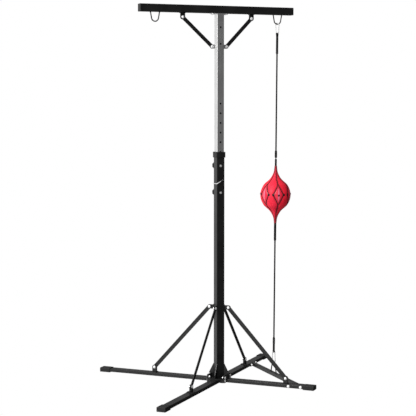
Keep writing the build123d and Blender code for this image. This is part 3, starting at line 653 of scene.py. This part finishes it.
def make_seams():
    """Corded piping that lies in each seam, and a row of stitches each side of it."""
    cords = []
    stitches = []
    for path in seam_paths():
        points = [ball_point(angle, height, seam_lift(height) + 0.5 * MM) for angle, height in path]
        cords.append(sweep(points, circle(PIPING_RADIUS, 8)))
        for side in (-1, 1):
            edge = []
            for angle, height in path:
                width = panel_width(height)
                if ball_outline(height) > 20 * MM and width > 12 * MM:
                    lift = puff(STITCH_OFFSET / width, width) + 0.1 * MM
                    turn = side * STITCH_OFFSET / ball_outline(height)
                    edge.append(ball_point(angle + turn, height, lift))
            run = 0.0
            for a, b in zip(edge, edge[1:]):
                run += (b - a).length
                if run >= STITCH_PITCH:
                    way = (b - a).normalized() * STITCH_HALF
                    lift = ((b - ball_centre) * Vector((1, 1, 0))).normalized() * 0.35 * MM
                    stitches.append(sweep([b - way, b + lift, b + way], circle(STITCH_RADIUS, 6)))
                    run = 0.0
    show("ball_piping", cords, "ball", "thread")
    show("ball_stitches", stitches, "ball", "thread")


def make_rivets():
    """Domed black studs at the diamonds' side corners, and the rubber valve in the front diamond."""
    # profiles in millimetres: radius, and height over the leather
    stud = [(0, -4.5), (6.7, -4.5), (7.2, -0.8), (6.8, 0.7), (5.4, 1.5), (3.0, 2.0), (0, 2.2)]
    valve = [(0, -3), (6.4, -3), (6.8, -0.5), (6.2, 0.8), (4.4, 1.3), (2.6, 1.0), (1.4, 0.2)]
    valve += [(1.2, -1.5), (0, -1.6)]
    places = []
    for k in range(SEAMS):
        here = SEAM_TURN + TAU * k / SEAMS
        for way in (-1, 1):
            places.append((here + way * DIAMOND_TURN, DIAMOND_RISE, 0.4 * MM, stud))
    places.append((SEAM_TURN, DIAMOND_RISE - VALVE_DROP, puff(0.5, panel_width(0)), valve))
    parts = []
    for angle, height, lift, profile in places:
        out = Vector((math.cos(angle), math.sin(angle), 0))
        verts, faces, uvs = lathe([(r * MM, h * MM) for r, h in profile], Vector(), 20)
        spin = out.to_track_quat("Z", "Y").to_matrix()
        seat = ball_point(angle, height, lift)
        parts.append(([seat + spin @ v for v in verts], faces, uvs))
    show("ball_rivets", parts, "ball", "dark_rivet")


make_ball()
make_seams()
make_rivets()


# ---- cords and straps ---------------------------------------------------------------------------
CORD_FULLNESS = 1.38
CORD_TUCK = 9 * MM


def make_cord(name, node, body, low, high):
    """Braided elastic cord, fuller than its nominal size."""
    radius = half_width(node) * CORD_FULLNESS
    strands = 8
    lay = 16 * MM
    rows = int((high - low) / (1.6 * MM))
    ring = 16
    verts, faces, uvs = [], [], []
    for i in range(rows + 1):
        z = low + (high - low) * i / rows
        twist = TAU * z / lay
        for j in range(ring):
            angle = TAU * j / ring
            swell = math.cos(strands / 2 * angle + twist) * math.cos(strands / 2 * angle - twist)
            reach = radius * (1 + 0.07 * swell)
            verts.append(line + Vector((reach * math.cos(angle), reach * math.sin(angle), z)))
    step = (high - low) / rows
    for i in range(rows):
        for j in range(ring):
            k = (j + 1) % ring
            faces.append((i * ring + j, i * ring + k, (i + 1) * ring + k, (i + 1) * ring + j))
            uvs += [(j / ring, i * step), ((j + 1) / ring, i * step)]
            uvs += [((j + 1) / ring, (i + 1) * step), (j / ring, (i + 1) * step)]
    faces += [tuple(reversed(range(ring))), tuple(range(rows * ring, (rows + 1) * ring))]
    uvs += [(0.5, 0)] * ring + [(0.5, high - low)] * ring
    mesh = mesh_from(name, verts, faces, uvs)
    cord = add_object(name, mesh, body, materials["elastic_cord"])
    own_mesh(cord)
    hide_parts(node)


def ribbon_loop(eye, wire_way, eye_radius, bottom, gap, width, thick):
    """Closed ribbon round an eye: down one side, across its end, and up the other.

    wire_way is the direction of the wire in the eye; bottom is where the ribbon ends."""
    down = (Vector((eye.x, eye.y, bottom)) - eye).normalized()
    out = wire_way.cross(down).normalized()
    length = abs(eye.z - bottom)
    points = []
    steps = 14
    for i in range(steps + 1):
        angle = math.pi * (1.12 - 1.24 * i / steps)
        x, y = eye_radius * math.cos(angle), eye_radius * math.sin(angle)
        points.append(eye + out * x - down * y)
    side_points = []
    for share in (0.12, 0.2, 0.3, 0.45, 0.6, 0.75, 0.9, 1.0):
        close = eye_radius * max(0.0, 1 - share / 0.22) ** 1.5
        side_points.append((max(close, gap), share * length))
    left = [eye - out * reach + down * fall for reach, fall in reversed(side_points)]
    right = [eye + out * reach + down * fall for reach, fall in side_points]
    path = left + points + right
    return sweep(path, rounded_strip(width / 2, thick / 2, thick * 0.42), up=wire_way)


def stitch_box(centre, across, along, face, width, height):
    """A sewn box-and-cross on a strap; face is the way from the strap's middle to its surface."""
    corners = [(-1, -1), (1, -1), (1, 1), (-1, 1), (-1, -1), (1, 1), (1, -1), (-1, 1)]
    points = [centre + across * (x * width / 2) + along * (y * height / 2) + face for x, y in corners]
    parts = []
    for a, b in zip(points, points[1:]):
        count = max(2, int((b - a).length / (2.2 * MM)))
        for i in range(count):
            start = a.lerp(b, (i + 0.15) / count)
            end = a.lerp(b, (i + 0.85) / count)
            crest = (start + end) / 2 + face.normalized() * 0.2 * MM
            parts.append(sweep([start, crest, end], circle(0.3 * MM, 5)))
    return parts


def coil(low, high, inner, wire, pitch, taper=0.0):
    """Whipping: cord wound tightly round the line between two heights."""
    turns = (high - low) / pitch
    steps = int(turns * 14)
    points = []
    for i in range(steps + 1):
        share = i / steps
        angle = TAU * turns * share
        reach = inner + wire + taper * math.sin(math.pi * share)
        z = low + wire + (high - low - 2 * wire) * share
        points.append(line + Vector((reach * math.cos(angle), reach * math.sin(angle), z)))
    return sweep(points, circle(wire, 8))


def keeper(low, high, radius, ribs):
    """Moulded barrel with grip ribs round the line."""
    profile = [(0, low), (radius * 0.8, low)]
    for i in range(ribs * 6 + 1):
        share = i / (ribs * 6)
        z = low + (high - low) * (0.06 + 0.88 * share)
        profile.append((radius * (0.93 + 0.07 * math.cos(TAU * ribs * share)), z))
    profile += [(radius * 0.8, high), (0, high)]
    return lathe(profile, line, 28)


STRAP_GAP = 2.1 * MM
STRAP_THICK = 4 * MM
EYE_RADIUS = 5.8 * MM
EYE_INSET = 8 * MM
UPPER_KEEPER_LENGTH = 20 * MM
LOWER_KEEPER_LENGTH = 39 * MM


def make_upper_strap():
    """Webbing loop under the upper snap hook, with its sewn box and the barrel on the cord."""
    turn = math.radians(-45)
    wire_way = Vector((math.cos(turn), math.sin(turn), 0))
    eye = line + Vector((0, 0, upper_strap_high - EYE_INSET))
    end = upper_strap_low + 6 * MM
    loop = ribbon_loop(eye, wire_way, EYE_RADIUS, end, STRAP_GAP, 13 * MM, STRAP_THICK)
    show("upper_webbing", [loop], "upper_line", "black_webbing", instead_of="upper_strap")
    up = Vector((0, 0, 1))
    centre = eye - up * 36 * MM
    face = wire_way.cross(up).normalized()
    sewn = []
    for side in (-1, 1):
        sewn += stitch_box(centre, wire_way, up, face * (side * 3.9 * MM), 7 * MM, 16 * MM)
    show("upper_strap_stitches", sewn, "upper_line", "thread")
    barrel = keeper(upper_strap_low, upper_strap_low + UPPER_KEEPER_LENGTH, 8 * MM, 4)
    show("upper_keeper", [barrel], "upper_line", "black_plastic")


def make_lower_strap():
    """Webbing loop over the lower snap hook, and its long ribbed barrel."""
    eye = line + Vector((0, 0, lower_strap_low + EYE_INSET))
    step = lower_strap_high - LOWER_KEEPER_LENGTH
    loop = ribbon_loop(eye, Vector((1, 0, 0)), EYE_RADIUS, step + 4 * MM, STRAP_GAP, 12 * MM, STRAP_THICK)
    show("lower_webbing", [loop], "lower_line", "black_webbing", instead_of="lower_strap")
    barrel = keeper(step, lower_strap_high, 7.8 * MM, 7)
    show("lower_keeper", [barrel], "lower_line", "black_plastic")


def make_whipping():
    """Wound straps at the ball's ends: a knotted one above, and below a sleeve the cord goes into."""
    waist = ball_strap_high - 44 * MM
    knot = [(0, ball_top - 6 * MM), (5.2 * MM, ball_top - 6 * MM), (4.8 * MM, waist - 8 * MM),
            (3 * MM, waist - 6 * MM), (3 * MM, waist - 1 * MM), (5.4 * MM, waist + 1 * MM),
            (5.4 * MM, ball_strap_high), (0, ball_strap_high)]
    bore, outside = 5.3 * MM, 6.3 * MM
    bore_end, sleeve_end = ball_strap_low + 20 * MM, ball_bottom + 8 * MM
    sleeve = [(0, bore_end), (bore, bore_end), (bore, ball_strap_low), (outside, ball_strap_low),
              (outside, sleeve_end), (0, sleeve_end)]
    winding = [
        coil(waist, ball_strap_high, 4.2 * MM, 1.5 * MM, 2.6 * MM, 0.6 * MM),
        coil(ball_top - 3 * MM, waist - 7 * MM, 4.0 * MM, 1.2 * MM, 2.2 * MM),
        lathe(knot, line, 24),
        coil(ball_strap_low, ball_bottom + 5 * MM, 5.5 * MM, 1.1 * MM, 2.2 * MM),
        lathe(sleeve, line, 24),
    ]
    show("ball_whipping", winding, "ball", "black_webbing", instead_of="ball_straps")


make_cord("upper_braid", "upper_cord", "upper_line", upper_cord_low, upper_cord_high)
make_cord("lower_braid", "lower_cord", "lower_line", lower_cord_low, lower_cord_high + CORD_TUCK)
make_upper_strap()
make_lower_strap()
make_whipping()


# ---- floor, light and camera --------------------------------------------------------------------
LIGHT_LOBES = (
    # direction, where it starts and is full (as a cosine), brightness added
    ((-1, 0, 0), 0.05, 0.40, 0.88),
    ((0.38, 0.92, 0.08), 0.92, 0.995, 0.26),
    ((0, 0, 1), 0.35, 0.95, 0.45),
    ((1, -0.2, 0), 0.68, 0.92, -0.095),
)
SOFT_LIGHT = 0.108
# added for light that a surface scatters, but not for its reflections
DIFFUSE_FILL = 0.12


def make_floor():
    """White floor, which only the camera sees, so that the studio's light comes from all round."""
    bpy.ops.mesh.primitive_plane_add(size=40, location=(0, 6, 0))
    floor = bpy.context.object
    floor.name = "studio_floor"
    s = Shader("studio_white")
    glow = s.add("ShaderNodeEmission", {"Strength": 1.0})
    choose = s.add("ShaderNodeMixShader")
    s.put(choose.inputs[0], s.add("ShaderNodeLightPath").outputs["Is Camera Ray"])
    s.put(choose.inputs[1], s.add("ShaderNodeBsdfTransparent").outputs[0])
    s.put(choose.inputs[2], glow.outputs[0])
    output = next(n for n in s.tree.nodes if n.type == "OUTPUT_MATERIAL")
    s.put(output.inputs["Surface"], choose.outputs[0])
    floor.data.materials.append(s.material)


def make_world():
    """White backdrop for the camera; as light, a bright left and top and a dim front and right."""
    world = bpy.data.worlds.new("studio")
    bpy.context.scene.world = world
    world.use_nodes = True
    tree = world.node_tree
    tree.nodes.clear()
    direction = tree.nodes.new("ShaderNodeTexCoord").outputs["Generated"]
    total = None
    for axis, start, full, amount in LIGHT_LOBES:
        lean = tree.nodes.new("ShaderNodeVectorMath")
        lean.operation = "DOT_PRODUCT"
        tree.links.new(direction, lean.inputs[0])
        lean.inputs[1].default_value = Vector(axis).normalized()
        lobe = tree.nodes.new("ShaderNodeMapRange")
        lobe.interpolation_type = "SMOOTHSTEP"
        tree.links.new(lean.outputs["Value"], lobe.inputs["Value"])
        limits = {"From Min": start, "From Max": full, "To Min": 0.0, "To Max": amount}
        for socket, value in limits.items():
            lobe.inputs[socket].default_value = value
        plus = tree.nodes.new("ShaderNodeMath")
        tree.links.new(lobe.outputs["Result"], plus.inputs[0])
        if total is None:
            plus.inputs[1].default_value = SOFT_LIGHT
        else:
            tree.links.new(total, plus.inputs[1])
        total = plus.outputs[0]
    rays = tree.nodes.new("ShaderNodeLightPath")
    fill = tree.nodes.new("ShaderNodeMath")
    fill.operation = "MULTIPLY_ADD"
    tree.links.new(rays.outputs["Is Diffuse Ray"], fill.inputs[0])
    fill.inputs[1].default_value = DIFFUSE_FILL
    tree.links.new(total, fill.inputs[2])
    light = tree.nodes.new("ShaderNodeBackground")
    light.inputs["Color"].default_value = (1, 1, 1, 1)
    tree.links.new(fill.outputs[0], light.inputs["Strength"])
    seen = tree.nodes.new("ShaderNodeBackground")
    seen.inputs["Color"].default_value = (1, 1, 1, 1)
    choose = tree.nodes.new("ShaderNodeMixShader")
    tree.links.new(rays.outputs["Is Camera Ray"], choose.inputs[0])
    tree.links.new(light.outputs[0], choose.inputs[1])
    tree.links.new(seen.outputs[0], choose.inputs[2])
    tree.links.new(choose.outputs[0], tree.nodes.new("ShaderNodeOutputWorld").inputs[0])


def area_light(name, place, aim, size, power):
    data = bpy.data.lights.new(name, "AREA")
    data.shape = "RECTANGLE"
    data.size, data.size_y = size
    data.energy = power
    lamp = bpy.data.objects.new(name, data)
    bpy.context.scene.collection.objects.link(lamp)
    lamp.location = place
    lamp.rotation_euler = (Vector(aim) - Vector(place)).to_track_quat("-Z", "Y").to_euler()


def make_camera():
    """Low telephoto view, a little to the left of the front."""
    turn = math.radians(22.3)
    dip = math.radians(4.817)
    distance = 7.7246
    shift = 0.0668
    height = 1.7106
    data = bpy.data.cameras.new("camera")
    data.sensor_width = 36
    data.lens = 111.44
    camera = bpy.data.objects.new("camera", data)
    bpy.context.scene.collection.objects.link(camera)
    camera.location = (
        -distance * math.sin(turn) - shift * math.cos(turn),
        -distance * math.cos(turn) + shift * math.sin(turn),
        height,
    )
    camera.rotation_euler = (math.pi / 2 - dip, 0, -turn)
    bpy.context.scene.camera = camera


make_floor()
make_world()
area_light("key", (-5.0, -2.9, 4.4), (0, 0, 1.2), (1.0, 1.0), 285)
make_camera()
bpy.context.scene.view_settings.view_transform = "Standard"
